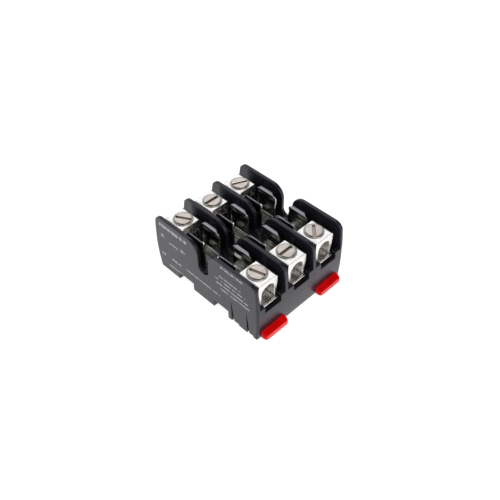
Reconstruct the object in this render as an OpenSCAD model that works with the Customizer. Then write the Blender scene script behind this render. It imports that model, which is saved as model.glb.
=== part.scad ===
// Three-pole holder block for 10 x 38 mm cartridge fuses.
// X runs along the fuses, Y across the poles, Z up. The origin is under the middle pole,
// halfway between its two terminal screws, on the plane that the feet stand on.

/* [Poles] */
// Distance from one pole to the next
pole_pitch = 20.4; // [19.5:0.1:24]
// Half the distance between the two terminal screws of a pole
screw_x = 26.9; // [26.6:0.1:27.2]
// Diameter of the cartridge fuse that the clips hold
fuse_d = 10.3; // [9.8:0.1:10.6]
// Length of the cartridge fuse
fuse_len = 38.1; // [36:0.1:38.3]

/* [Housing] */
// Length of the housing along the fuses, at its widest
housing_len = 76.6; // [76:0.1:78]
// Height of the barriers between the poles
barrier_h = 36.7; // [36:0.1:40]
// Thickness of each barrier
barrier_t = 2; // [1.6:0.1:2.4]
// Height of the floor that the clips stand on
floor_h = 18.9; // [18.4:0.1:19.2]
// Width of the slot in the middle of each barrier
slot_w = 7.3; // [6:0.1:8]
// Position along X of that slot
slot_x = -0.7; // [-1:0.1:1]

/* [Rail mounting] */
// Width of the mounting rail
rail_w = 35; // [34.5:0.1:35.3]
// Depth of the rail recess under the housing
rail_recess = 4.9; // [4.5:0.1:5.2]
// How far a latch is pulled out to free the rail
latch_travel = 3.6; // [2:0.1:3.8]

/* [Contacts] */
// Thickness of the clip metal
clip_t = 0.8; // [0.6:0.1:1]
// Width of a terminal lug at its top
lug_w = 13; // [12:0.1:13.4]
// Diameter of the wire clamping screw
screw_d = 8.2; // [7.8:0.1:8.4]

/* [Hidden] */
$fn = 64;
eps = 0.01;
poles = [1, 2, 3];
sides = ["l", "r"];
latch_poles = [1, 3];

// housing
side_lo = -1.5 * pole_pitch - 0.2;
side_hi = 1.5 * pole_pitch + 1.75;
end_lo = -housing_len / 2 - 0.5;
end_hi = housing_len / 2 - 0.5;
bow_r = [80, 140];
bow_z = [17.3, 13];
lobe_r_out = 5.1;
lobe_set_in = [1.24, 1.19];
lobe_r_in = 7.6;
slot_bottom = 19.4;
end_wall_in = 34.8;
end_wall_h = 21.1;
wire_gap_y = [-5.1, 6];
wire_gap_z = 16.9;
core_top = 15.4;
core_gap = 2;
foot_in = -21.3;
rail_gap = 3;
rail_right = foot_in + rail_w + rail_gap;
mid_foot = [-9.9, 6];
hook_w = 12;
hook_reach = 1.6;
hook_z = [0.6, 3.4];
mount_r = 2.2;
mount_sink_r = 4.1;
mount_sink_h = 2.2;
groove_top = 14;
groove_cut = 1.7;
grooves = [19, 29.9];
step_ends = [24.4, 34.6];
step_h = 1;

// contacts
tongue_w = 9.9;
tongue_t = 1;
tongue_end = 36.1;
tongue_z = floor_h + tongue_t;
clip_x0 = 4.9;
clip_x1 = 17.9;
grip_r = fuse_d / 2 + 0.15;
grip_z = 29.9;
throat = 3.95;
grip_below = 30;
throat_dz = sqrt(grip_r * grip_r - throat * throat);
lip = 1.55;
lip_corner_in = 3.2;
lip_corner_out = 2.6;
stop_x = (fuse_len + 0.7) / 2;
stop_t = 0.8;
stop_w = 7.4;
stop_top = 28.2;
rivet_x = 14.2;
rivet_r = 1.5;
rivet_head_r = 2.5;
rivet_head_h = 0.9;

// terminals
lug_x0 = 20.8;
lug_x1 = 34.4;
lug_top = 33.15;
lug_bottom = floor_h - 1.5;
lug_bottom_w = 11;
lug_shoulder = 1.4;
lug_corner = 1.2;
window_w = 8.8;
window_spring = 25.9;
serration = 0.35;
serration_pitch = 1.2;
screw_gap = 0.1;
washer_r = 5.4;
washer_t = 0.4;
head_r = 4.5;
head_h = 0.6;
head_z = lug_top + washer_t;
screw_end = tongue_z + 0.6;
slot_depth = 1.2;
driver_slot_w = 1.7;
left_slot_angles = [30, 89, 67];
right_slot_angles = [17, 90, -45];

// latches
latch_w = 16.9;
latch_shift = 0.5;
latch_top = 4.6;
latch_corner = 2.4;
slide_z0 = 0.5;
slide_step = 2.1;
slide_z1 = 3.6;
slide_w = 8;
slide_flange = 1.1;
slide_gap = 0.3;
nose_x = 12.7;
nose_drop = 1.4;
latch_wall = end_hi - 0.05;
latch_out = latch_wall + 3.75;
post_x = [30.6, 32.2];
post_w = 3.4;
spring_room = 6.6;
window_x = [post_x[0] - latch_travel - spring_room, post_x[1] + 1.6];
window_y = 2.1;
spring_r = 1.45;
spring_wire = 0.4;
spring_turns = 6;
spring_steps = 14;
spring_z = 2.05;
spring_sides = 6;

function pole_y(p) = (p - 2) * pole_pitch;
function latch_y(p) = pole_y(p) + latch_shift;
function side_sign(s) = s == "l" ? -1 : 1;
function slot_angle(s, p) = s == "l" ? left_slot_angles[p - 1] : right_slot_angles[p - 1];

// A box from one corner to the opposite one.
module span(low, high) {
    translate(low)
        cube(high - low);
}

// A flat outline in X and Z, made into a wall that starts at y and is t thick.
module wall_xz(y, t) {
    translate([0, y + t, 0])
        rotate([90, 0, 0])
            linear_extrude(height = t)
                children();
}

// A flat outline in Y and Z, made into a bar that runs from x0 to x1.
module bar_yz(x0, x1) {
    translate([x0, 0, 0])
        rotate([90, 0, 90])
            linear_extrude(height = x1 - x0)
                children();
}

// What lies between a square corner at the origin and its rounding; sx and sy point inward.
module corner_cut(r, sx, sy) {
    scale([sx, sy])
        difference() {
            translate([-1, -1])
                square(r + 1);
            translate([r, r])
                circle(r);
        }
}

// ---------- housing ----------

// Side view of one barrier: two rounded lobes with a round-bottomed slot between them.
module barrier_outline() {
    difference() {
        translate([end_lo, 0])
            square([housing_len, barrier_h]);
        translate([slot_x - slot_w / 2, slot_bottom + slot_w / 2])
            square([slot_w, barrier_h]);
        translate([slot_x, slot_bottom + slot_w / 2])
            circle(slot_w / 2);
        translate([end_lo + lobe_set_in[0], barrier_h])
            corner_cut(lobe_r_out, 1, -1);
        translate([end_hi - lobe_set_in[1], barrier_h])
            corner_cut(lobe_r_out, -1, -1);
        translate([slot_x - slot_w / 2, barrier_h])
            corner_cut(lobe_r_in, -1, -1);
        translate([slot_x + slot_w / 2, barrier_h])
            corner_cut(lobe_r_in, 1, -1);
    }
}

// The space between the two bowed ends: each is an arc of a large circle.
module end_bows() {
    middle = [end_lo + bow_r[0], end_hi - bow_r[1]];
    intersection_for (i = [0, 1])
        translate([middle[i], 0, bow_z[i]])
            rotate([90, 0, 0])
                cylinder(r = bow_r[i], h = 2 * side_hi + 2, center = true, $fn = 200);
}

// The recess of one terminal: lug seat, and the gap in the end wall in front of it.
module terminal_recess() {
    seat = wire_gap_y[1];
    span([lug_x0 - 0.1, -seat, lug_bottom], [end_wall_in + eps, seat, barrier_h]);
    span([end_wall_in, wire_gap_y[0], wire_gap_z], [housing_len, wire_gap_y[1], barrier_h]);
}

// Hollow moulded into the underside, between x0 and x1 of one pole.
module core(p, x0, x1) {
    half = pole_pitch / 2 - core_gap;
    span([x0, pole_y(p) - half, -1], [x1, pole_y(p) + half, core_top]);
}

// Stepped channel in which one latch slides.
module latch_channel() {
    low = slide_w / 2 + slide_gap;
    high = low + slide_flange;
    span([rail_right - 1, -low, -1], [housing_len, low, slide_z1 + slide_gap]);
    span([rail_right - 1, -high, slide_step - slide_gap],
         [housing_len, high, slide_z1 + slide_gap]);
}

// Wedge-shaped groove in a side wall, widening from its apex to the bottom edge.
module side_groove(x) {
    polygon([[x, groove_top], [x + 0.2, groove_top], [x + 2.1, 0], [x + 2, -1], [x + 0.5, -1]]);
}

module housing_shell() {
    difference() {
        intersection() {
            union() {
                span([end_lo, side_lo, 0], [end_hi, side_hi, floor_h]);
                span([end_lo, side_lo, 0], [-end_wall_in, side_hi, end_wall_h]);
                span([end_wall_in, side_lo, 0], [end_hi, side_hi, end_wall_h]);
                for (y = [side_lo, -(pole_pitch + barrier_t) / 2,
                          (pole_pitch - barrier_t) / 2, side_hi - barrier_t])
                    wall_xz(y, barrier_t)
                        barrier_outline();
            }
            end_bows();
        }
        for (p = poles)
            for (s = [-1, 1])
                translate([0, pole_y(p), 0])
                    scale([s, 1, 1])
                        terminal_recess();
        // rail recess on each side of the middle foot
        span([foot_in, side_lo - 1, -1], [mid_foot[0], side_hi + 1, rail_recess]);
        span([mid_foot[1], side_lo - 1, -1], [rail_right, side_hi + 1, rail_recess]);
        // hollows under the floor
        for (p = poles) {
            core(p, -34.2, -23.2);
            core(p, -17.6, -11);
            core(p, 11, 17.6);
        }
        core(2, 23.2, 34.2);
        for (p = latch_poles) {
            translate([0, latch_y(p), 0])
                latch_channel();
            translate([0, pole_y(p), 0]) {
                cylinder(r = mount_r, h = 3 * floor_h, center = true);
                translate([0, 0, floor_h - mount_sink_h])
                    cylinder(r = mount_sink_r, h = mount_sink_h + 1);
            }
        }
        for (p = poles)
            for (s = [-1, 1])
                translate([s * rivet_x, pole_y(p), 0])
                    cylinder(r = rivet_r, h = 2 * floor_h);
        // grooves and steps in both side walls, beside the latches
        for (y = [side_lo - 1, side_hi - groove_cut])
            for (i = [0, 1]) {
                wall_xz(y, groove_cut + 1)
                    side_groove(grooves[i]);
                span([grooves[i] + 1.8, y, -1], [step_ends[i], y + groove_cut + 1, step_h]);
            }
    }
}

module base_housing() {
    color("dimgray")
        union() {
            housing_shell();
            for (p = latch_poles) {
                // post that the latch spring pushes against
                translate([0, latch_y(p), 0])
                    span([post_x[0], -post_w / 2, slide_z0],
                         [post_x[1], post_w / 2, slide_z1 + slide_gap + eps]);
                // fixed hook for the rail
                translate([0, pole_y(p), 0])
                    span([foot_in - 1, -hook_w / 2, hook_z[0]],
                         [foot_in + hook_reach, hook_w / 2, hook_z[1]]);
            }
        }
}

// ---------- terminals ----------

// End view of a lug: wide shoulders and sides that close in towards the bottom.
module lug_outline() {
    top = lug_w / 2;
    low = lug_bottom_w / 2;
    polygon([
        [-low + lug_corner, lug_bottom], [low - lug_corner, lug_bottom],
        [low, lug_bottom + lug_corner], [top, lug_top - lug_shoulder - 3],
        [top, lug_top - lug_shoulder], [top - lug_shoulder, lug_top],
        [-top + lug_shoulder, lug_top], [-top, lug_top - lug_shoulder],
        [-top, lug_top - lug_shoulder - 3], [-low, lug_bottom + lug_corner]
    ]);
}

// Opening for the wire: straight sides under a round arch.
module window_outline() {
    translate([-window_w / 2, floor_h + tongue_t])
        square([window_w, window_spring - floor_h - tongue_t]);
    translate([0, window_spring])
        circle(window_w / 2);
    translate([-tongue_w / 2 - 0.05, floor_h])
        square([tongue_w + 0.1, tongue_t + 0.05]);
}

module box_lug(s, p) {
    color("whitesmoke")
        translate([0, pole_y(p), 0])
            scale([side_sign(s), 1, 1])
                difference() {
                    bar_yz(lug_x0, lug_x1)
                        lug_outline();
                    bar_yz(lug_x0 - 1, lug_x1 + 1)
                        window_outline();
                    translate([screw_x, 0, window_spring])
                        cylinder(r = screw_d / 2 + screw_gap, h = lug_top);
                }
}

module terminal_screw(s, p) {
    color("linen")
        translate([side_sign(s) * screw_x, pole_y(p), 0])
            rotate([0, 0, slot_angle(s, p)])
                difference() {
                    union() {
                        translate([0, 0, screw_end])
                            cylinder(r1 = screw_d / 2 - 0.8, r2 = screw_d / 2, h = 0.8);
                        translate([0, 0, screw_end + 0.8])
                            cylinder(r = screw_d / 2, h = head_z - screw_end - 0.8);
                        translate([0, 0, head_z])
                            cylinder(r = head_r, h = head_h - 0.25);
                        translate([0, 0, head_z + head_h - 0.25])
                            cylinder(r1 = head_r, r2 = head_r - 0.25, h = 0.25);
                    }
                    translate([0, 0, head_z + head_h])
                        cube([3 * head_r, driver_slot_w, 2 * slot_depth], center = true);
                }
}

module screw_washer(s, p) {
    color("silver")
        translate([side_sign(s) * screw_x, pole_y(p), lug_top])
            difference() {
                cylinder(r = washer_r, h = washer_t);
                translate([0, 0, -1])
                    cylinder(r = screw_d / 2 + screw_gap, h = washer_t + 2);
            }
}

// ---------- fuse clips ----------

// End view of the two arms of a clip: arcs that grip the fuse, flared lips above them,
// and straight legs down to the flat base.
module clip_outline() {
    arm = grip_r + clip_t;
    leg_x = grip_r * cos(grip_below);
    leg_top = grip_z - grip_r * sin(grip_below) + 0.35;
    translate([-leg_x - clip_t, floor_h])
        square([2 * (leg_x + clip_t), tongue_t]);
    for (m = [-1, 1])
        scale([m, 1]) {
            translate([leg_x, floor_h])
                square([clip_t, leg_top - floor_h]);
            intersection() {
                translate([0, grip_z])
                    difference() {
                        circle(arm);
                        circle(grip_r);
                    }
                translate([0, grip_z])
                    polygon([
                        [0, 0], 2 * arm * [cos(grip_below), -sin(grip_below)],
                        [2 * arm, 0], 2 * [throat, throat_dz]
                    ]);
            }
            translate([throat, grip_z + throat_dz])
                polygon([
                    [0, 0], [lip, lip], [lip + 0.55, lip - 0.55],
                    [0.75 * clip_t, -0.3], [0.4 * clip_t, -0.5]
                ]);
        }
}

// Side view of the arms, with the upper corners of the lips rounded off.
module arm_side_outline() {
    top = grip_z + throat_dz + lip;
    difference() {
        translate([clip_x0, floor_h])
            square([clip_x1 - clip_x0, top - floor_h + 1]);
        translate([clip_x0, top])
            corner_cut(lip_corner_in, 1, -1);
        translate([clip_x1, top])
            corner_cut(lip_corner_out, -1, -1);
    }
}

module fuse_clip(s, p) {
    color("gainsboro")
        translate([0, pole_y(p), 0])
            scale([side_sign(s), 1, 1])
                difference() {
                    union() {
                        intersection() {
                            bar_yz(clip_x0, clip_x1)
                                clip_outline();
                            wall_xz(-pole_pitch / 2, pole_pitch)
                                arm_side_outline();
                        }
                        span([clip_x1 - 1, -tongue_w / 2, floor_h],
                             [tongue_end, tongue_w / 2, tongue_z]);
                        span([stop_x, -stop_w / 2, floor_h],
                             [stop_x + stop_t, stop_w / 2, stop_top]);
                    }
                    translate([rivet_x, 0, floor_h])
                        cylinder(r = rivet_r, h = 4 * tongue_t, center = true);
                    // serrations that bite into the wire
                    for (i = [0:10])
                        translate([lug_x0 + 1.6 + i * serration_pitch, 0, tongue_z])
                            rotate([0, 45, 0])
                                cube([serration * 1.4, tongue_w - 1.4, serration * 1.4],
                                     center = true);
                }
}

module clip_rivets() {
    color("silver")
        for (p = poles)
            for (s = [-1, 1])
                translate([s * rivet_x, pole_y(p), 0]) {
                    translate([0, 0, core_top - rivet_head_h])
                        cylinder(r = rivet_head_r, h = rivet_head_h);
                    translate([0, 0, core_top - eps])
                        cylinder(r = rivet_r, h = tongue_z - core_top + 2 * eps);
                    translate([0, 0, tongue_z])
                        cylinder(r = rivet_head_r, h = rivet_head_h);
                }
}

// ---------- rail latches ----------

// Plan of the finger bar, with round outer corners.
module finger_outline() {
    difference() {
        translate([latch_wall, -latch_w / 2])
            square([latch_out - latch_wall, latch_w]);
        for (m = [-1, 1])
            translate([latch_out, m * latch_w / 2])
                corner_cut(latch_corner, -1, -m);
    }
}

module rail_latch(p) {
    flange = slide_w / 2 + slide_flange;
    color("red")
        translate([0, latch_y(p), 0])
            difference() {
                union() {
                    span([nose_x, -slide_w / 2, slide_z0], [latch_wall + 1, slide_w / 2, slide_z1]);
                    span([rail_right + 0.4, -flange, slide_step],
                         [latch_wall + 1, flange, slide_z1]);
                    intersection() {
                        translate([0, 0, 0.3])
                            linear_extrude(height = latch_top - 0.3)
                                finger_outline();
                        // sloping top and rounded front edge of the bar
                        wall_xz(-latch_w, 2 * latch_w)
                            polygon([
                                [latch_wall, 0], [latch_out - 0.5, 0], [latch_out, 0.9],
                                [latch_out, 2.5], [latch_out - 0.6, 3.2], [latch_wall, latch_top]
                            ]);
                    }
                }
                // sloping nose, which lets the rail push the latch aside
                translate([nose_x, 0, slide_z0])
                    rotate([0, 45, 0])
                        cube([nose_drop * 1.41, 2 * slide_w, nose_drop * 1.41], center = true);
                span([window_x[0], -window_y, -1], [window_x[1], window_y, latch_top]);
            }
}

// Points of one ring of the spring's wire, at turn t.
function spring_ring(t) = [
    for (j = [0 : spring_sides - 1])
        let (a = 360 * t, b = 360 * j / spring_sides, r = spring_r + spring_wire / 2 * cos(b))
        [t * spring_lead + spring_wire / 2 * sin(b), r * sin(a), r * cos(a)]
];

spring_len = post_x[0] - window_x[0] - spring_wire - 0.1;
spring_lead = spring_len / spring_turns;

module latch_spring(p) {
    rings = spring_turns * spring_steps;
    n = spring_sides;
    points = [for (i = [0 : rings]) each spring_ring(i / spring_steps)];
    skin = [
        for (i = [0 : rings - 1])
            for (j = [0 : n - 1])
                [i * n + j, i * n + (j + 1) % n, (i + 1) * n + (j + 1) % n, (i + 1) * n + j]
    ];
    ends = [[for (j = [n - 1 : -1 : 0]) j], [for (j = [0 : n - 1]) rings * n + j]];
    color("lightgray")
        translate([window_x[0] + spring_wire / 2 + 0.05, latch_y(p), spring_z])
            polyhedron(points = points, faces = concat(skin, ends));
}

base_housing();
for (s = sides)
    for (p = poles) {
        box_lug(s, p);
        terminal_screw(s, p);
        screw_washer(s, p);
        fuse_clip(s, p);
    }
clip_rivets();
for (p = latch_poles) {
    rail_latch(p);
    latch_spring(p);
}
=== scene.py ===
"""Looks of a three-pole fuse holder block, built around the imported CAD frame. Metres, Z up."""
import math

import bmesh
import bpy
from mathutils import Matrix, Vector


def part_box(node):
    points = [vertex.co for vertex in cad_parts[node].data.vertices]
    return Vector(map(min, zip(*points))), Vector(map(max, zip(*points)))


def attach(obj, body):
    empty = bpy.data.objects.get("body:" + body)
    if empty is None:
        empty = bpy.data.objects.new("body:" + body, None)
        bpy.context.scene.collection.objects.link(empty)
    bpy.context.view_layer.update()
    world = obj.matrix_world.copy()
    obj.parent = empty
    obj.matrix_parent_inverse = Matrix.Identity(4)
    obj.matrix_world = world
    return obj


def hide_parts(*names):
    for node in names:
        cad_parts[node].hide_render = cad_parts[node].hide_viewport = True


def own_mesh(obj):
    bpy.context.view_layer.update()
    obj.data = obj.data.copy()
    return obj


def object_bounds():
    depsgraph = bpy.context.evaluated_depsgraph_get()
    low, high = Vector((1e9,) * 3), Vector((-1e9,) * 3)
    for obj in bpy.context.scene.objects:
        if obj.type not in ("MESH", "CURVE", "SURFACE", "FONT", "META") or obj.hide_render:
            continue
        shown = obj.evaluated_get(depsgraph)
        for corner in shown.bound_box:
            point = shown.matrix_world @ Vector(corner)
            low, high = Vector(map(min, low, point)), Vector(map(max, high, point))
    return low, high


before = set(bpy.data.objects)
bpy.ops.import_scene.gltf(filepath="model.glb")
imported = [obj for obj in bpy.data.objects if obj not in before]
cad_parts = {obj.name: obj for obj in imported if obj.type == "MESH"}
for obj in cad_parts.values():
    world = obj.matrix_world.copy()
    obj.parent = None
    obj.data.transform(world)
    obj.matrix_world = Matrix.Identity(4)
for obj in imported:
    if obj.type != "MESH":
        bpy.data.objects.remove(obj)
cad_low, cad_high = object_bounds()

MM = 0.001
POLES = (1, 2, 3)
SIDES = ("l", "r")
TERMINALS = [side + str(pole) for side in SIDES for pole in POLES]
LATCH_POLES = (1, 3)
# Turn of each driver slot from the X axis, in degrees
SLOT_ANGLES = {"l1": 30, "l2": 89, "l3": 67, "r1": 17, "r2": 90, "r3": -45}
# Fuse clip: radius and centre height of the grip, sheet thickness, ends of the arms along X,
# corner radii of the lips, where the lips and their painted highlight begin, and the end
# stop's near face and thickness
GRIP_R = 5.3 * MM
GRIP_Z = 29.9 * MM
CLIP_T = 0.8 * MM
CLIP_ENDS = (4.9 * MM, 17.9 * MM)
LIP_CORNERS = (3.2 * MM, 2.6 * MM)
LIP_Z = 33.5 * MM
STOP_X = 19.4 * MM
STOP_T = 0.8 * MM
# Printed rows on the side wall, in mm: height, thickness, start and end along X
PRINT_ROWS = (
    (32.4, 2.1, -34, -12.5), (25, 1.7, -33.5, -30.5), (23, 0.9, -27, -20), (23.8, 1.7, -18, -14.5),
    (11.2, 1.5, -34.5, -31.5), (11.6, 1.5, -26, -19), (5.2, 0.9, -29, -18), (12.1, 0.9, -15, 11),
    (34.2, 1.2, 12, 27.5), (27, 0.9, 11, 26), (24.2, 0.9, 8, 29), (21.3, 0.9, 9, 31),
    (18.4, 0.9, 12, 32),
)


# ---------- mesh helpers ----------

def mesh_from(bm, name):
    """A new mesh with outward normals; the bmesh is freed."""
    bmesh.ops.recalc_face_normals(bm, faces=bm.faces)
    mesh = bpy.data.meshes.new(name)
    bm.to_mesh(mesh)
    bm.free()
    return mesh


def temporary(mesh, name="tmp"):
    """A new object for a mesh, linked to the scene."""
    obj = bpy.data.objects.new(name, mesh)
    bpy.context.scene.collection.objects.link(obj)
    return obj


def baked(obj):
    """The object's mesh with its modifiers applied; the object is removed."""
    graph = bpy.context.evaluated_depsgraph_get()
    mesh = bpy.data.meshes.new_from_object(
        obj.evaluated_get(graph), preserve_all_data_layers=True, depsgraph=graph)
    bpy.data.objects.remove(obj)
    return mesh


def bevelled(mesh, width, segments=3, angle=32, weighted=False):
    """The mesh with its edges rounded: those sharper than an angle, or by their weights."""
    obj = temporary(mesh)
    mesh.shade_smooth()
    bevel = obj.modifiers.new("bevel", "BEVEL")
    bevel.width = width
    bevel.segments = segments
    bevel.use_clamp_overlap = False
    if weighted:
        bevel.limit_method = "WEIGHT"
    else:
        bevel.limit_method = "ANGLE"
        bevel.angle_limit = math.radians(angle)
    return baked(obj)


def combined(mesh, other, operation):
    """Boolean of two closed meshes."""
    obj, tool = temporary(mesh), temporary(other, "tool")
    step = obj.modifiers.new("boolean", "BOOLEAN")
    step.operation = operation
    step.solver = "EXACT"
    step.object = tool
    bpy.context.view_layer.update()
    result = baked(obj)
    bpy.data.objects.remove(tool)
    return result


def smoothed(mesh, angle=35):
    """The mesh with smooth shading, broken at edges sharper than an angle."""
    mesh.shade_smooth()
    mesh.set_sharp_from_angle(angle=math.radians(angle))
    return mesh


def tidied_cad(node, name):
    """A copy of a CAD node's mesh, with the triangles of each flat face merged."""
    bm = bmesh.new()
    bm.from_mesh(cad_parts[node].data)
    bmesh.ops.remove_doubles(bm, verts=bm.verts, dist=1e-6)
    bmesh.ops.dissolve_limit(bm, angle_limit=math.radians(0.4), verts=bm.verts, edges=bm.edges)
    return mesh_from(bm, name)


def arc(centre, radius, start, end, steps):
    """Points of an arc in a plane; the angles are in degrees."""
    return [
        (centre[0] + radius * math.cos(math.radians(start + (end - start) * i / steps)),
         centre[1] + radius * math.sin(math.radians(start + (end - start) * i / steps)))
        for i in range(steps + 1)
    ]


def filleted(corners, closed=True, steps=6):
    """An outline through corners (x, y, radius), each replaced by an arc of that radius."""
    points = []
    count = len(corners)
    for i, (x, y, radius) in enumerate(corners):
        here = Vector((x, y))
        if radius == 0 or (not closed and i in (0, count - 1)):
            points.append((x, y))
            continue
        before = Vector(corners[i - 1][:2]) - here
        after = Vector(corners[(i + 1) % count][:2]) - here
        before.normalize()
        after.normalize()
        half = before.angle(after) / 2
        reach = radius / math.tan(half)
        start = here + before * reach
        end = here + after * reach
        centre = here + (before + after).normalized() * (radius / math.sin(half))
        from_centre, to_centre = start - centre, end - centre
        turn = from_centre.angle_signed(to_centre)
        for k in range(steps + 1):
            spoke = from_centre.copy()
            spoke.rotate(Matrix.Rotation(-turn * k / steps, 2))
            points.append(tuple(centre + spoke))
    return points


def prism(outer, holes, plane, start, end, name):
    """A flat outline with holes, swept from start to end. The plane is the two axes of the
    outline, such as "yz", and the sweep runs along the third axis."""
    axes = ["xyz".index(c) for c in plane]
    sweep = 3 - sum(axes)
    bm = bmesh.new()
    edges = []
    for loop in [outer, *holes]:
        verts = []
        for u, v in loop:
            spot = [0.0, 0.0, 0.0]
            spot[axes[0]], spot[axes[1]], spot[sweep] = u, v, start
            verts.append(bm.verts.new(spot))
        edges += [bm.edges.new((verts[i - 1], verts[i])) for i in range(len(verts))]
    bmesh.ops.triangle_fill(bm, use_beauty=True, edges=edges)
    made = bmesh.ops.extrude_face_region(bm, geom=bm.faces[:])["geom"]
    offset = Vector((0, 0, 0))
    offset[sweep] = end - start
    bmesh.ops.translate(
        bm, verts=[g for g in made if isinstance(g, bmesh.types.BMVert)], vec=offset)
    bmesh.ops.dissolve_limit(bm, angle_limit=math.radians(0.4), verts=bm.verts, edges=bm.edges)
    return mesh_from(bm, name)


def turned(profile, centre, segments, name, closed=False):
    """A body of revolution about a vertical line. The profile is (radius, height) pairs, from
    bottom to top; a closed profile makes a ring."""
    bm = bmesh.new()
    rings = []
    for radius, height in profile:
        if radius < 1e-9:
            rings.append([bm.verts.new((centre.x, centre.y, height))])
            continue
        rings.append([
            bm.verts.new((centre.x + radius * math.cos(2 * math.pi * i / segments),
                          centre.y + radius * math.sin(2 * math.pi * i / segments), height))
            for i in range(segments)
        ])
    pairs = list(zip(rings, rings[1:]))
    if closed:
        pairs.append((rings[-1], rings[0]))
    for low, high in pairs:
        for i in range(segments):
            j = (i + 1) % segments
            ring = [low[i % len(low)], low[j % len(low)], high[j % len(high)], high[i % len(high)]]
            bm.faces.new(list(dict.fromkeys(ring)))
    return mesh_from(bm, name)


def moved(mesh, shift, mirror=False):
    """A copy of a mesh, moved, and mirrored in X first if asked."""
    copy = mesh.copy()
    if mirror:
        copy.transform(Matrix.Scale(-1, 4, (1, 0, 0)))
        copy.flip_normals()
    copy.transform(Matrix.Translation(shift))
    return copy


def piece(name, mesh, material, body, slot, *nodes):
    """A piece that rides on a body and stands for CAD nodes."""
    obj = temporary(mesh, name)
    mesh.name = name
    mesh.materials.clear()
    mesh.materials.append(material)
    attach(obj, body)
    if nodes:
        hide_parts(*nodes)
    return obj


def weighted_normals(obj):
    """Keeps large flat faces flat in shading beside their rounded edges."""
    step = obj.modifiers.new("normals", "WEIGHTED_NORMAL")
    step.keep_sharp = True
    step.weight = 60


def box_centre(node):
    """Middle of a CAD node's box."""
    low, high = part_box(node)
    return (low + high) / 2


def pole_y(pole):
    """Where a pole's middle plane is, from its washer."""
    return box_centre(f"screw_washer_r{pole}").y


# ---------- shader helpers ----------

def new_material(name):
    """A material, its node tree and its shader."""
    material = bpy.data.materials.new(name)
    material.use_nodes = True
    tree = material.node_tree
    return material, tree, tree.nodes["Principled BSDF"]


def coordinates(tree, stretch=(1, 1, 1)):
    """Object coordinates in millimetres, stretched along the axes."""
    source = tree.nodes.new("ShaderNodeTexCoord")
    mapping = tree.nodes.new("ShaderNodeMapping")
    mapping.inputs["Scale"].default_value = [s / MM for s in stretch]
    tree.links.new(source.outputs["Object"], mapping.inputs["Vector"])
    return mapping.outputs["Vector"]


def noise(tree, vector, scale, detail=2.0, rough=0.5):
    """Noise of a given fineness, from 0 to 1."""
    node = tree.nodes.new("ShaderNodeTexNoise")
    node.inputs["Scale"].default_value = scale
    node.inputs["Detail"].default_value = detail
    node.inputs["Roughness"].default_value = rough
    tree.links.new(vector, node.inputs["Vector"])
    return node.outputs["Fac"]


def ranged(tree, value, low, high, to_low, to_high):
    """A value mapped from one range to another, and kept inside it."""
    node = tree.nodes.new("ShaderNodeMapRange")
    for socket, number in zip(("From Min", "From Max", "To Min", "To Max"),
                              (low, high, to_low, to_high)):
        node.inputs[socket].default_value = number
    tree.links.new(value, node.inputs["Value"])
    return node.outputs["Result"]


def maths(tree, operation, *values):
    """One operation on sockets or numbers."""
    node = tree.nodes.new("ShaderNodeMath")
    node.operation = operation
    for socket, value in zip(node.inputs, values):
        if isinstance(value, (int, float)):
            socket.default_value = value
        else:
            tree.links.new(value, socket)
    return node.outputs[0]


def axes_of(tree, vector):
    """The x, y and z of a vector socket."""
    node = tree.nodes.new("ShaderNodeSeparateXYZ")
    tree.links.new(vector, node.inputs[0])
    return node.outputs


def tinted(tree, factor, first, second):
    """A colour between two others; each is a colour or a socket."""
    node = tree.nodes.new("ShaderNodeMix")
    node.data_type = "RGBA"
    tree.links.new(factor, node.inputs[0])
    for socket, value in ((node.inputs[6], first), (node.inputs[7], second)):
        if isinstance(value, tuple):
            socket.default_value = (*value, 1)
        else:
            tree.links.new(value, socket)
    return node.outputs[2]


def bumped(tree, height, strength, distance, normal=None):
    """A normal that follows a height map, on top of another normal if given."""
    node = tree.nodes.new("ShaderNodeBump")
    node.inputs["Strength"].default_value = strength
    node.inputs["Distance"].default_value = distance
    tree.links.new(height, node.inputs["Height"])
    if normal is not None:
        tree.links.new(normal, node.inputs["Normal"])
    return node.outputs["Normal"]


def edge_wear(tree, radius, grain):
    """A mask that is 1 on worn edges: where the rounded normal leaves the true one."""
    soft = tree.nodes.new("ShaderNodeBevel")
    soft.samples = 4
    soft.inputs["Radius"].default_value = radius
    true = tree.nodes.new("ShaderNodeNewGeometry")
    dot = tree.nodes.new("ShaderNodeVectorMath")
    dot.operation = "DOT_PRODUCT"
    tree.links.new(soft.outputs["Normal"], dot.inputs[0])
    tree.links.new(true.outputs["Normal"], dot.inputs[1])
    flat, rounded = 0.985, 0.86
    mask = ranged(tree, dot.outputs["Value"], flat, rounded, 0.0, 1.0)
    return maths(tree, "MULTIPLY", mask, ranged(tree, grain, 0.42, 0.62, 0.0, 1.0))


# ---------- materials ----------

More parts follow.
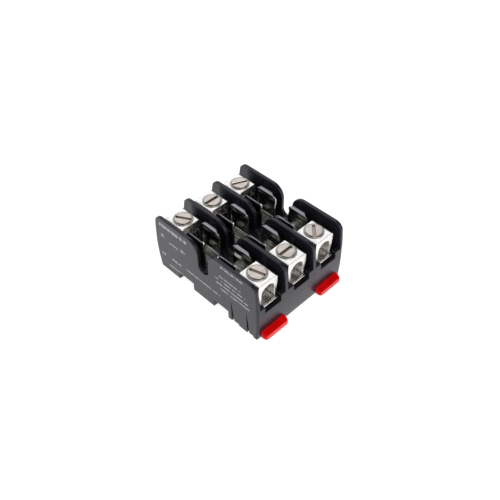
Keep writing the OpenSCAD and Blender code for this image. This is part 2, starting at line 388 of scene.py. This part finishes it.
def moulded_plastic(name, colour, worn, rough, grain_size, grain_depth, shine, ior, wall=None,
                    painted_sheen_x=None):
    """Moulded plastic: fine grain, faint flow marks, uneven gloss and lighter worn edges. A
    wall is the y of a side that carries a print, and beyond the x given last the front is
    painted pale: a painted reflection of the floor on the glossy front."""
    material, tree, shader = new_material(name)
    where = coordinates(tree)
    grain = noise(tree, where, 1 / grain_size, 3.0, 0.6)
    flow = noise(tree, coordinates(tree, (0.35, 1, 0.6)), 0.16, 3.0)
    patches = noise(tree, where, 0.55, 4.0, 0.62)
    darker = tuple(0.78 * c for c in colour)
    lighter = tuple(1.24 * c for c in colour)
    body = tinted(tree, ranged(tree, flow, 0.3, 0.7, 0, 1), darker, lighter)
    wear = edge_wear(tree, 0.35 * MM, patches)
    surface = tinted(tree, wear, body, worn)
    if wall is not None:
        surface = tinted(tree, printed_rows(tree, wall), surface, (0.42, 0.4, 0.46))
    # painted reflection: beyond this x the front of the finger bar is painted pale pink, standing
    # in for the floor reflected in its glossy front
    if painted_sheen_x is not None:
        x = axes_of(tree, where)[0]
        pale = ranged(tree, x, painted_sheen_x / MM - 0.25, painted_sheen_x / MM, 0.0, 1.0)
        pale = maths(tree, "MULTIPLY", pale, ranged(tree, patches, 0.2, 0.7, 0.35, 0.9))
        surface = tinted(tree, pale, surface, (0.82, 0.13, 0.14))
    tree.links.new(surface, shader.inputs["Base Color"])
    gloss = maths(tree, "ADD", ranged(tree, patches, 0.3, 0.7, rough - 0.05, rough + 0.06),
                  ranged(tree, grain, 0.3, 0.7, -0.02, 0.02))
    tree.links.new(gloss, shader.inputs["Roughness"])
    fine = bumped(tree, grain, 0.35, grain_depth)
    tree.links.new(bumped(tree, flow, 0.25, 0.12 * MM, fine), shader.inputs["Normal"])
    shader.inputs["IOR"].default_value = ior
    shader.inputs["Specular IOR Level"].default_value = shine
    shader.inputs["Specular Tint"].default_value = (0.95, 0.93, 1.0, 1)
    return material


def plated_metal(name, colour, tarnish_and_shade, rough, stretch, scratch, spots, dirt_and_shade_below=None):
    """Plated metal: drawn lines along one axis, cloudy gloss, and tarnished patches, which on
    the clips are mostly painted shade. Below the height given last everything is darker brown:
    painted shade in the slot and under the head's rim, along with dirt."""
    material, tree, shader = new_material(name)
    lines = noise(tree, coordinates(tree, stretch), 3.2, 4.0, 0.65)
    where = coordinates(tree)
    cloud = noise(tree, where, 0.45, 4.0, 0.6)
    speck = noise(tree, where, 5.5, 2.0, 0.5)
    shade = tinted(tree, ranged(tree, cloud, 0.42, 0.75, 0.0, spots), colour, tarnish_and_shade)
    dark = tuple(0.86 * c for c in colour)
    surface = tinted(tree, ranged(tree, lines, 0.62, 0.9, 0.0, 0.5), shade, dark)
    if dirt_and_shade_below is not None:
        # painted shade: everything below the height is darkened brown, in the slot and under the
        # head's rim, along with dirt
        z = axes_of(tree, where)[2]
        dirt_and_shade = ranged(tree, z, dirt_and_shade_below / MM - 0.25, dirt_and_shade_below / MM, 0.9, 0.0)
        surface = tinted(tree, dirt_and_shade, surface, (0.36, 0.3, 0.25))
    tree.links.new(surface, shader.inputs["Base Color"])
    shader.inputs["Metallic"].default_value = 1.0
    gloss = maths(tree, "ADD", ranged(tree, cloud, 0.3, 0.7, rough - 0.05, rough + 0.07),
                  ranged(tree, lines, 0.3, 0.7, -0.04, 0.05))
    tree.links.new(gloss, shader.inputs["Roughness"])
    fine = bumped(tree, lines, scratch, 0.02 * MM)
    tree.links.new(bumped(tree, speck, 0.12, 0.02 * MM, fine), shader.inputs["Normal"])
    return material


def clip_metal(arms, lips, tongue, tongue_x):
    """Clip metal: dark and blotchy round the fuse, with painted shade for the dark housing it
    reflects; a painted highlight on the lips; streaks of painted shade and glints on the strip
    between the arms; brighter on the tongue beyond tongue_x; a painted highlight on the cut edges."""
    # painted shade: near-black tarnish over almost all of it stands for the dark housing reflected
    # inside the clip
    material = plated_metal("clip_metal", arms, (0.035, 0.032, 0.026), rough=0.16,
                            stretch=(0.15, 1.4, 1.4), scratch=0.25, spots=0.95)
    tree = material.node_tree
    shader = tree.nodes["Principled BSDF"]
    x, _, z = axes_of(tree, coordinates(tree))
    blotches = noise(tree, coordinates(tree, (0.6, 1, 1.3)), 0.75, 4.0, 0.75)
    surface = tinted(tree, ranged(tree, blotches, 0.48, 0.66, 0.0, 0.75),
                     shader.inputs["Base Color"].links[0].from_socket, (0.5, 0.49, 0.46))
    # painted highlight on the lips, which begin 0.5 mm lower on the clips on the right
    lower = ranged(tree, x, 0.0, 1.0, 0.0, 0.5)
    lip = ranged(tree, maths(tree, "ADD", z, lower), LIP_Z / MM - 0.5, LIP_Z / MM, 0.0, 1.0)
    surface = tinted(tree, lip, surface, lips)
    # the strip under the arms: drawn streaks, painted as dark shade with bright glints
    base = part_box("fuse_clip_r2")[0].z / MM
    drawn = noise(tree, coordinates(tree, (0.07, 1.6, 0.3)), 0.8, 3.0, 0.6)
    strip = tinted(tree, ranged(tree, drawn, 0.46, 0.62, 0.0, 1.0), (0.1, 0.097, 0.09),
                   (0.46, 0.455, 0.44))
    surface = tinted(tree, maths(tree, "LESS_THAN", z, base + 1.3), surface, strip)
    # the tongue, brighter, with painted shade in its serrations
    far = ranged(tree, maths(tree, "ABSOLUTE", x), tongue_x / MM - 0.2, tongue_x / MM, 0.0, 1.0)
    serration_shade = ranged(tree, z, base + 0.7, base + 0.92, 0.25, 1.0)
    surface = tinted(tree, far, surface, tinted(tree, serration_shade, (0.0, 0.0, 0.0), tongue))
    # painted highlight on faces along X: the cut edges and the end stops, except those on the
    # left, which stay dark
    geometry = tree.nodes.new("ShaderNodeNewGeometry")
    facing = maths(tree, "ABSOLUTE", axes_of(tree, geometry.outputs["True Normal"])[0])
    cut = maths(tree, "GREATER_THAN", facing, 0.8)
    stop = maths(tree, "COMPARE", x, -(STOP_X + STOP_T / 2) / MM, 0.6)
    cut = maths(tree, "MULTIPLY", cut, maths(tree, "SUBTRACT", 1.0, stop))
    surface = tinted(tree, cut, surface, (0.92, 0.91, 0.89))
    tree.links.new(surface, shader.inputs["Base Color"])
    return material


def printed_rows(tree, wall):
    """Mask of a generic print on the side wall at y = wall: rows of plain pale dashes."""
    where = coordinates(tree)
    x, y, z = axes_of(tree, where)
    total = None
    for height, thick, start, end in PRINT_ROWS:
        middle, half = (start + end) / 2, (end - start) / 2
        row = maths(tree, "COMPARE", z, height, thick / 2)
        row = maths(tree, "MULTIPLY", row, maths(tree, "COMPARE", x, middle, half))
        total = row if total is None else maths(tree, "ADD", total, row)
    words = noise(tree, coordinates(tree, (1, 0, 0.33)), 0.55, 2.0, 0.7)
    total = maths(tree, "MULTIPLY", total, ranged(tree, words, 0.42, 0.46, 0.0, 1.0))
    total = maths(tree, "MULTIPLY", total, maths(tree, "LESS_THAN", y, wall / MM + 0.05))
    patches = noise(tree, where, 2.4, 3.0, 0.7)
    return maths(tree, "MULTIPLY", total, ranged(tree, patches, 0.3, 0.65, 0.35, 0.95))


def studio_floor():
    """Plain pale floor, faintly cloudy."""
    material, tree, shader = new_material("studio_floor")
    where = coordinates(tree)
    cloud = noise(tree, where, 0.004, 2.0)
    tree.links.new(tinted(tree, cloud, (0.42, 0.42, 0.42), (0.4, 0.4, 0.405)),
                   shader.inputs["Base Color"])
    shader.inputs["Emission Color"].default_value = (1, 1, 1, 1)
    shader.inputs["Emission Strength"].default_value = 0.81
    tree.links.new(ranged(tree, cloud, 0.3, 0.7, 0.75, 0.85), shader.inputs["Roughness"])
    shader.inputs["Specular IOR Level"].default_value = 0.2
    return material


# ---------- housing ----------

def corner_share(edge, low, high):
    """How much of the widest bevel an edge gets as an upright outer corner: all of it low
    down, and less and less towards the rounded barrier tops. None for any other edge."""
    ends = [v.co for v in edge.verts]
    near, end_x = 0.01 * MM, 35 * MM
    outer = all(min(co.y - low.y, high.y - co.y) < near for co in ends)
    upright = max(abs(face.normal.x) for face in edge.link_faces) > 0.95
    if not (outer and upright and min(abs(co.x) for co in ends) > end_x):
        return None
    height = (ends[0].z + ends[1].z) / 2
    none_above, fade = high.z - 6 * MM, 8 * MM
    return min(1.0, max(0.0, (none_above - height) / fade))


def housing_mesh():
    """The moulding, with round outer corners, soft barrier rims and tighter edges below."""
    mesh = tidied_cad("base_housing", "housing_moulding")
    low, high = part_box("base_housing")
    # the widest bevel, and the share of it for barrier rims, other edges and inner corners
    width, rim, crisp, inner = 1.2 * MM, 0.35, 0.18, 0.09
    sharp = math.radians(32)
    bm = bmesh.new()
    bm.from_mesh(mesh)
    weight = bm.edges.layers.float.new("bevel_weight_edge")
    rim_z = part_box("fuse_clip_r2")[0].z + 0.3 * MM
    for edge in bm.edges:
        if len(edge.link_faces) != 2 or edge.calc_face_angle(0) < sharp:
            continue
        if edge.calc_face_angle_signed(0) < 0:
            edge[weight] = inner
            continue
        edge[weight] = crisp
        if min(v.co.z for v in edge.verts) > rim_z:
            # near the floor the bevel stays too narrow to reach the floor's own corner
            height = (edge.verts[0].co.z + edge.verts[1].co.z) / 2
            edge[weight] = min(rim, (height - rim_z + 0.1 * MM) / width)
        share = corner_share(edge, low, high)
        if share is not None:
            edge[weight] = rim + (1 - rim) * share
    bm.to_mesh(mesh)
    bm.free()
    return bevelled(mesh, width, 4, weighted=True)


def make_housing(material):
    """The moulded block."""
    obj = piece("housing_moulding", smoothed(housing_mesh()), material, "base",
                "housing_plastic", "base_housing")
    weighted_normals(obj)


# ---------- terminals ----------

def lug_mesh():
    """Box lug of the middle pole on the right: rounded shoulders and an arched opening."""
    low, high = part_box("box_lug_r2")
    top, bottom = high.z, low.z
    wide = (high.y - low.y) / 2
    narrow = wide - 1.0 * MM
    window = 4.4 * MM
    spring_line = top - 7.25 * MM
    sill = bottom + 2.55 * MM
    ledge = bottom + 1.5 * MM
    tongue = 5.0 * MM
    shoulder, foot = 1.5 * MM, 1.2 * MM
    waist = top - 4.4 * MM
    right = [(narrow, bottom, foot), (wide, waist, 3 * MM), (wide, top, shoulder)]
    outline = filleted(right + [(-y, z, r) for y, z, r in reversed(right)])
    opening = [(-tongue, ledge), (tongue, ledge), (tongue, sill), (window, sill)]
    opening += arc((0, spring_line), window, 0, 180, 28)
    opening += [(-window, sill), (-tongue, sill)]
    body = bevelled(prism(outline, [opening], "yz", low.x, high.x, "lug"), 0.3 * MM, 3)
    hole, above = 4.2 * MM, top + 2 * MM
    profile = [(0, spring_line), (hole, spring_line), (hole, above), (0, above)]
    cutter = turned(profile, box_centre("terminal_screw_r2"), 64, "cutter")
    return combined(body, cutter, "DIFFERENCE")


def screw_mesh(centre, top, bottom, angle):
    """Clamping screw: a slotted head with rounded rims, a thread that is really cut, and a
    plain tip."""
    pitch, crest, root, head = 1.25 * MM, 4.08 * MM, 3.5 * MM, 4.5 * MM
    plain, run_in, run_out = 4.6 * MM, 0.8 * MM, 0.6 * MM
    chamfer, chamfer_height = 0.3 * MM, 0.4 * MM
    head_z = top - 0.6 * MM
    neck_z = head_z - 0.5 * MM
    segments, per_turn = 64, 8
    rings = []
    bm = bmesh.new()

    def ring(height, radius_at):
        rings.append([
            bm.verts.new((centre.x + radius_at(i) * math.cos(2 * math.pi * i / segments),
                          centre.y + radius_at(i) * math.sin(2 * math.pi * i / segments), height))
            for i in range(segments)
        ])

    steps = int((neck_z - bottom) / pitch * per_turn)
    for k in range(steps + 1):
        height = bottom + (neck_z - bottom) * k / steps
        fade = min(1.0, (height - bottom - plain) / run_in, (neck_z - height) / run_out)

        def thread(i, height=height, fade=fade):
            phase = (height / pitch - i / segments) % 1.0
            ridge = min(1.0, max(0.0, 1.35 - 2.7 * abs(phase - 0.5)))
            taper = min(0.0, (height - bottom) / chamfer_height - 1.0) * chamfer
            return root + (crest - root) * ridge * max(fade, 0.0) + taper

        ring(height, thread)
    rim = 0.18 * MM
    ring(head_z, lambda i: root)
    ring(head_z, lambda i: head - rim)
    for middle_z, angles in ((head_z + rim, (-60, -30, 0)), (top - rim, (0, 30, 60, 90))):
        for a in angles:
            ring(middle_z + rim * math.sin(math.radians(a)),
                 lambda i, a=a: head - rim + rim * math.cos(math.radians(a)))
    ring(top, lambda i: 0.5 * head)
    for lower, upper in zip(rings, rings[1:]):
        for i in range(segments):
            j = (i + 1) % segments
            bm.faces.new((lower[i], lower[j], upper[j], upper[i]))
    bm.faces.new(rings[0][::-1])
    bm.faces.new(rings[-1])
    body = mesh_from(bm, "screw")
    half, depth, corner, burr = 0.85 * MM, 1.2 * MM, 0.15 * MM, 0.14 * MM
    right = [(half, top - depth, corner), (half, top - corner, 0), (half + burr, top, 0),
             (half + burr, top + MM, 0)]
    outline = filleted([(-half, top - depth, corner)] + right
                       + [(-y, z, 0) for y, z, _ in reversed(right[1:])])
    slot = prism(outline, [], "yz", -6 * MM, 6 * MM, "slot")
    slot.transform(Matrix.Translation((centre.x, centre.y, 0))
                   @ Matrix.Rotation(math.radians(angle), 4, "Z"))
    return combined(body, slot, "DIFFERENCE")


def washer_mesh(low, high):
    """Washer with rounded edges and a shallow step under the screw head."""
    outer = (high.x - low.x) / 2
    inner, edge, step = outer - 1.2 * MM, 0.12 * MM, 0.08 * MM
    land, seat = outer - 0.55 * MM, outer - 0.6 * MM
    top, bottom = high.z, low.z
    profile = [(inner, bottom), (outer - edge, bottom), (outer, bottom + edge),
               (outer, top - edge), (outer - 0.4 * edge, top - 0.15 * edge), (outer - edge, top),
               (land, top), (seat, top - step), (inner, top - step)]
    return turned(profile, (low + high) / 2, 72, "washer", closed=True)


def make_terminals(lug_metal, screw_metal, washer_metal):
    """The six box terminals: lug, screw and washer."""
    lug = smoothed(lug_mesh())
    middle = box_centre("box_lug_r2")
    for name in TERMINALS:
        left = name[0] == "l"
        shift = Vector((0, box_centre(f"box_lug_{name}").y - middle.y, 0))
        obj = piece(f"lug_{name}", moved(lug, shift, left), lug_metal, "base",
                    "tin_plate", f"box_lug_{name}")
        weighted_normals(obj)
        low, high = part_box(f"terminal_screw_{name}")
        centre = box_centre(f"screw_washer_{name}")
        mesh = screw_mesh(centre, high.z, low.z, SLOT_ANGLES[name])
        piece(f"screw_{name}", smoothed(mesh, 40), screw_metal, f"screw_{name}",
              "screw_steel", f"terminal_screw_{name}")
        mesh = washer_mesh(*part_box(f"screw_washer_{name}"))
        piece(f"washer_{name}", smoothed(mesh, 40), washer_metal, f"washer_{name}",
              "washer_steel", f"screw_washer_{name}")


# ---------- fuse clips ----------

def arm_path():
    """Middle line of the bent strip in Y and Z, from one lip tip to the other."""
    mid = GRIP_R + CLIP_T / 2
    leg = GRIP_R * math.cos(math.radians(30)) + CLIP_T / 2
    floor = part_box("fuse_clip_r2")[0].z + 0.6 * MM
    bend = math.radians(37.6)
    corner = (mid * math.cos(bend), GRIP_Z + mid * math.sin(bend))
    tip = (corner[0] + 1.27 * MM, corner[1] + 1.33 * MM)
    half = [(leg, floor, 0.9 * MM), (leg, GRIP_Z - 2.9 * MM, 1.6 * MM)]
    half += [(y, z, 0) for y, z in arc((0, GRIP_Z), mid, -24, 30, 12)]
    half += [(*corner, 0.5 * MM), (*tip, 0)]
    return filleted([(-y, z, r) for y, z, r in reversed(half)] + half, closed=False)


def inset(z, top, radius):
    """How far a rounded corner of that radius pulls the edge in at height z."""
    rise = z - (top - radius)
    return 0.0 if rise <= 0 else radius - math.sqrt(max(radius * radius - rise * rise, 0))


def arms_mesh():
    """The bent strip as one sheet of metal with rounded lip corners."""
    path = arm_path()
    top = max(z for _, z in path) + 0.02 * MM
    bm = bmesh.new()
    columns = 10
    rows = []
    for y, z in path:
        start = CLIP_ENDS[0] + inset(z, top, LIP_CORNERS[0])
        end = CLIP_ENDS[1] - inset(z, top, LIP_CORNERS[1])
        rows.append([bm.verts.new((start + (end - start) * k / columns, y, z))
                     for k in range(columns + 1)])
    for near, far in zip(rows, rows[1:]):
        for k in range(columns):
            bm.faces.new((near[k], near[k + 1], far[k + 1], far[k]))
    mesh = mesh_from(bm, "arms")
    obj = temporary(mesh)
    solid = obj.modifiers.new("solid", "SOLIDIFY")
    solid.thickness = CLIP_T
    solid.offset = 0
    solid.use_even_offset = True
    bpy.context.view_layer.update()
    return bevelled(baked(obj), 0.14 * MM, 2, 55)


def tongue_mesh():
    """The flat strip from under the arms to the end wall, with teeth for the wire."""
    low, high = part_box("fuse_clip_r2")
    bottom, top = low.z, low.z + 1.0 * MM
    start, end = CLIP_ENDS[0] + 0.2 * MM, high.x
    outline = [(start, bottom), (end, bottom), (end, top)]
    first, pitch, count, half, depth = 22.4 * MM, 1.2 * MM, 11, 0.42 * MM, 0.35 * MM
    for k in reversed(range(count)):
        x = first + k * pitch
        outline += [(x + half, top), (x, top - depth), (x - half, top)]
    outline.append((start, top))
    width = 4.95 * MM
    return bevelled(prism(outline, [], "xz", -width, width, "tongue"), 0.1 * MM, 2)


def stop_mesh():
    """Upright end stop for the fuse, bent up from the strip."""
    top, half = 28.2 * MM, 3.7 * MM
    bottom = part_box("fuse_clip_r2")[0].z + 0.1 * MM
    outline = filleted([(-half - 0.4 * MM, bottom, 0), (half + 0.4 * MM, bottom, 0),
                        (half, bottom + 2 * MM, 1 * MM), (half, top, 1.3 * MM),
                        (-half, top, 1.3 * MM), (-half, bottom + 2 * MM, 1 * MM)])
    return bevelled(prism(outline, [], "yz", STOP_X, STOP_X + STOP_T, "stop"), 0.12 * MM, 2)


def make_clips(metal):
    """The six fuse clips, all made from one."""
    clip = combined(arms_mesh(), tongue_mesh(), "UNION")
    clip = smoothed(combined(clip, stop_mesh(), "UNION"), 40)
    for name in TERMINALS:
        shift = Vector((0, pole_y(int(name[1])), 0))
        piece(f"clip_{name}", moved(clip, shift, name[0] == "l"), metal, "base",
              "clip_metal", f"fuse_clip_{name}")


def make_rivets(metal):
    """Six rivets with domed heads above and pressed heads below."""
    low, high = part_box("clip_rivets")
    reach = 14.2 * MM
    head, shank, rise = 2.5 * MM, 1.5 * MM, 0.9 * MM
    dome = [(head * math.cos(math.radians(a)), high.z - rise + rise * math.sin(math.radians(a)))
            for a in range(0, 91, 15)]
    dome[-1] = (0, high.z)
    foot = [(0, low.z), (head - 0.3 * MM, low.z), (head, low.z + 0.3 * MM), (head, low.z + rise)]
    profile = foot + [(shank, low.z + rise), (shank, high.z - rise)] + dome
    bm = bmesh.new()
    for pole in POLES:
        for side in (-1, 1):
            part = turned(profile, Vector((side * reach, pole_y(pole), 0)), 40, "rivet")
            bm.from_mesh(part)
    mesh = mesh_from(bm, "rivets")
    piece("rivet_set", smoothed(mesh, 40), metal, "base", "rivet_metal", "clip_rivets")


# ---------- latches ----------

def finger_mesh(wall, out, half, bottom, top):
    """Finger bar of a latch: one soft profile that closes in towards both ends."""
    profile = filleted([
        (wall, bottom, 0), (out - 0.45 * MM, bottom, 0.45 * MM),
        (out, bottom + 0.75 * MM, 0.5 * MM), (out, bottom + 2.2 * MM, 0.45 * MM),
        (out - 0.6 * MM, bottom + 2.95 * MM, 0.5 * MM), (wall, top, 0)])
    middle = (bottom + top) / 2
    corner, soft = 2.4 * MM, 1.0 * MM
    # how far in from the ends the sections stand, in mm: closest where the edge turns
    depths = [0, 0.04, 0.16, 0.33, 0.5, 0.8, 1.2, 1.7, 2.4]
    sides = [-half + d * MM for d in depths] + [half - d * MM for d in reversed(depths)]
    bm = bmesh.new()
    rings = []
    for y in sides:
        depth = half - abs(y)
        plan, edge = (r - math.sqrt(max(r * r - (r - min(depth, r)) ** 2, 0))
                      for r in (corner, soft))
        reach = (out - wall - plan - edge) / (out - wall)
        squeeze = 1 - 2 * edge / (top - bottom)
        rings.append([
            bm.verts.new((wall + (x - wall) * reach, y, middle + (z - middle) * squeeze))
            for x, z in profile
        ])
    for near, far in zip(rings, rings[1:]):
        for k in range(len(profile)):
            bm.faces.new((near[k - 1], near[k], far[k], far[k - 1]))
    bm.faces.new(rings[0])
    bm.faces.new(rings[-1][::-1])
    return mesh_from(bm, "finger")


def slider_mesh(nose, end, bottom, top):
    """Stepped slide of a latch, with its sloping nose and the window for the spring."""
    core, flange, step, shoulder = 4 * MM, 5.1 * MM, bottom + 1.6 * MM, nose + 4.4 * MM
    right = [(core, bottom), (core, step), (flange, step), (flange, top)]
    outline = right + [(-y, z) for y, z in reversed(right)]
    body = prism(outline, [], "yz", nose, end, "slider")
    for side in (-1, 1):
        near, far = side * core, side * (flange + MM)
        notch = [(nose - MM, near), (shoulder, near), (shoulder, far), (nose - MM, far)]
        body = combined(body, prism(notch, [], "xy", bottom - MM, top + MM, "notch"), "DIFFERENCE")
    half, start, stop = 2.1 * MM, 20.4 * MM, 33.8 * MM
    window = [(start, -half), (stop, -half), (stop, half), (start, half)]
    body = combined(body, prism(window, [], "xy", bottom - MM, top + MM, "window"), "DIFFERENCE")
    slope = [(nose - 0.5 * MM, bottom + 1.9 * MM), (nose - 0.5 * MM, bottom - 0.5 * MM),
             (nose + 1.9 * MM, bottom - 0.5 * MM)]
    body = combined(body, prism(slope, [], "xz", -6 * MM, 6 * MM, "slope"), "DIFFERENCE")
    return bevelled(body, 0.14 * MM, 2, 30)


def make_latches(plastic):
    """The two latches, each a slide with a finger bar."""
    low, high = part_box("rail_latch_1")
    wall = high.x - 3.85 * MM
    finger = finger_mesh(wall, high.x, (high.y - low.y) / 2, low.z, high.z)
    slider = slider_mesh(low.x, wall + MM, low.z + 0.2 * MM, low.z + 3.3 * MM)
    latch = smoothed(combined(slider, finger, "UNION"), 40)
    for pole in LATCH_POLES:
        node = f"rail_latch_{pole}"
        obj = piece(f"latch_{pole}", moved(latch, Vector((0, box_centre(node).y, 0))), plastic,
                    f"latch_{pole}", "latch_plastic", node)
        weighted_normals(obj)


def spring_mesh(low, high):
    """A coil with closed ends, wound along X inside the given box."""
    wire, turns, around, ring = 0.2 * MM, 6.0, 28, 10
    middle = (low + high) / 2
    radius = (high.z - low.z) / 2 - wire
    length = high.x - low.x - 2 * wire
    total = int(turns * around)
    bm = bmesh.new()
    rings = []

    def along(t):
        """Share of the length at a share t of the turns; the end coils lie close."""
        dead, closed = 1.0 / turns, 0.055
        if t < dead:
            return closed * t / dead
        if t > 1 - dead:
            return 1 - closed * (1 - t) / dead
        return closed + (1 - 2 * closed) * (t - dead) / (1 - 2 * dead)

    for k in range(total + 1):
        t = k / total
        turn = 2 * math.pi * turns * t
        spot = Vector((low.x + wire + length * along(t), middle.y + radius * math.sin(turn),
                       middle.z + radius * math.cos(turn)))
        outward = Vector((0, math.sin(turn), math.cos(turn)))
        rings.append([
            bm.verts.new(spot + outward * wire * math.cos(2 * math.pi * j / ring)
                         + Vector((1, 0, 0)) * wire * math.sin(2 * math.pi * j / ring))
            for j in range(ring)
        ])
    for near, far in zip(rings, rings[1:]):
        for j in range(ring):
            i = (j + 1) % ring
            bm.faces.new((near[j], near[i], far[i], far[j]))
    bm.faces.new(rings[0])
    bm.faces.new(rings[-1][::-1])
    return mesh_from(bm, "spring")


def make_springs(metal):
    """The return springs of the latches."""
    for pole in LATCH_POLES:
        node = f"latch_spring_{pole}"
        low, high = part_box(node)
        obj = piece(f"spring_{pole}", smoothed(spring_mesh(low, high), 50), metal, "base",
                    "spring_steel", node)
        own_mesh(obj)


# ---------- studio ----------

def make_camera():
    """The photograph's viewing angle: from above, over the end with the latches."""
    azimuth, elevation = math.radians(45.515), math.radians(45.041)
    distance, roll = 332.8 * MM, math.radians(-0.424)
    back = Vector((math.sin(azimuth) * math.cos(elevation),
                   -math.cos(azimuth) * math.cos(elevation), math.sin(elevation)))
    level = Vector((math.cos(azimuth), math.sin(azimuth), 0))
    climb = back.cross(level)
    right = level * math.cos(roll) + climb * math.sin(roll)
    up = back.cross(right)
    data = bpy.data.cameras.new("camera")
    data.sensor_width = 36
    data.lens = 45.341
    data.clip_start, data.clip_end = 0.01, 20
    camera = bpy.data.objects.new("camera", data)
    bpy.context.scene.collection.objects.link(camera)
    middle = Vector((0, 0.28 * MM, (cad_low.z + cad_high.z) / 2))
    sideways, down = 0.835 * MM, 2.435 * MM
    place = middle + back * distance + level * sideways - climb * down
    turn = Matrix((right, up, back)).transposed().to_4x4()
    camera.matrix_world = Matrix.Translation(place) @ turn
    bpy.context.scene.camera = camera


def softbox(name, place, aim, width, depth, power):
    """A rectangular light that points at aim."""
    data = bpy.data.lights.new(name, "AREA")
    data.shape = "RECTANGLE"
    data.size, data.size_y = width, depth
    data.energy = power
    light = bpy.data.objects.new(name, data)
    bpy.context.scene.collection.objects.link(light)
    light.location = place
    light.rotation_euler = (Vector(aim) - Vector(place)).to_track_quat("-Z", "Y").to_euler()


def make_studio():
    """Pale sky that is darker behind the object on the right, three softboxes and a floor."""
    scene = bpy.context.scene
    scene.view_settings.view_transform = "Standard"
    world = bpy.data.worlds.new("studio")
    scene.world = world
    world.use_nodes = True
    tree = world.node_tree
    sky = tree.nodes.new("ShaderNodeTexCoord").outputs["Generated"]
    toward = tree.nodes.new("ShaderNodeVectorMath")
    toward.operation = "DOT_PRODUCT"
    dark_side = (0.42, 0.5, 0.757)
    toward.inputs[1].default_value = dark_side
    tree.links.new(sky, toward.inputs[0])
    shade = ranged(tree, toward.outputs["Value"], 0.72, 0.94, 0.0, 1.0)
    tree.links.new(tinted(tree, shade, (0.8, 0.8, 0.825), (0.12, 0.12, 0.13)),
                   tree.nodes["Background"].inputs["Color"])
    softbox("back_box", (-0.75, 0.55, 1.0), (0, 0, 0), 1.0, 1.0, 1)
    softbox("end_box", (1.2, -0.2, 0.8), (0, 0, 0.01), 1.0, 0.7, 8)
    softbox("side_box", (-0.6, -1.1, 0.8), (0, 0, 0.01), 1.2, 0.8, 3)
    bm = bmesh.new()
    bmesh.ops.create_grid(bm, x_segments=8, y_segments=8, size=3)
    floor = temporary(mesh_from(bm, "floor"), "floor")
    floor.data.materials.append(studio_floor())


def main():
    make_camera()
    make_studio()
    make_housing(moulded_plastic(
        "housing_plastic", (0.0085, 0.0078, 0.0115), (0.045, 0.043, 0.052), rough=0.28,
        grain_size=0.22, grain_depth=0.02 * MM, shine=0.5, ior=1.46, wall=cad_low.y))
    lug_metal = plated_metal("tin_plate", (0.93, 0.92, 0.90), (0.7, 0.66, 0.6), rough=0.25,
                             stretch=(0.12, 1.6, 1.6), scratch=0.25, spots=0.6)
    screw_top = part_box("terminal_screw_r2")[1].z
    screw_metal = plated_metal("screw_steel", (0.62, 0.575, 0.535), (0.46, 0.38, 0.3),
                               rough=0.3, stretch=(1, 1, 1), scratch=0.3, spots=0.5,
                               # below this height the screw is painted darker: shade in the slot
                               # and under the rim, along with dirt
                               dirt_and_shade_below=screw_top - 0.12 * MM)
    washer_metal = plated_metal("washer_steel", (0.34, 0.33, 0.31), (0.22, 0.19, 0.16),
                                rough=0.28, stretch=(1, 1, 1), scratch=0.3, spots=0.5)
    make_terminals(lug_metal, screw_metal, washer_metal)
    # the clip's colours: arms painted dark as painted shade, lips a painted highlight, tongue
    # brighter
    make_clips(clip_metal(arms=(0.33, 0.32, 0.3), lips=(0.17, 0.167, 0.185),
                          tongue=(0.68, 0.67, 0.645), tongue_x=20.5 * MM))
    make_rivets(plated_metal("rivet_metal", (0.45, 0.44, 0.43), (0.3, 0.26, 0.2), rough=0.3,
                             stretch=(1, 1, 1), scratch=0.25, spots=0.5))
    make_latches(moulded_plastic(
        "latch_plastic", (0.6, 0.001, 0.001), (0.66, 0.03, 0.03), rough=0.22,
        grain_size=0.3, grain_depth=0.01 * MM, shine=0.08, ior=1.45,
        # beyond this x the finger bar's front is painted pale: a painted reflection of the floor
        painted_sheen_x=cad_high.x - 0.4 * MM))
    make_springs(plated_metal("spring_steel", (0.55, 0.55, 0.57), (0.3, 0.28, 0.26),
                              rough=0.25, stretch=(1, 1, 1), scratch=0.2, spots=0.5))


main()
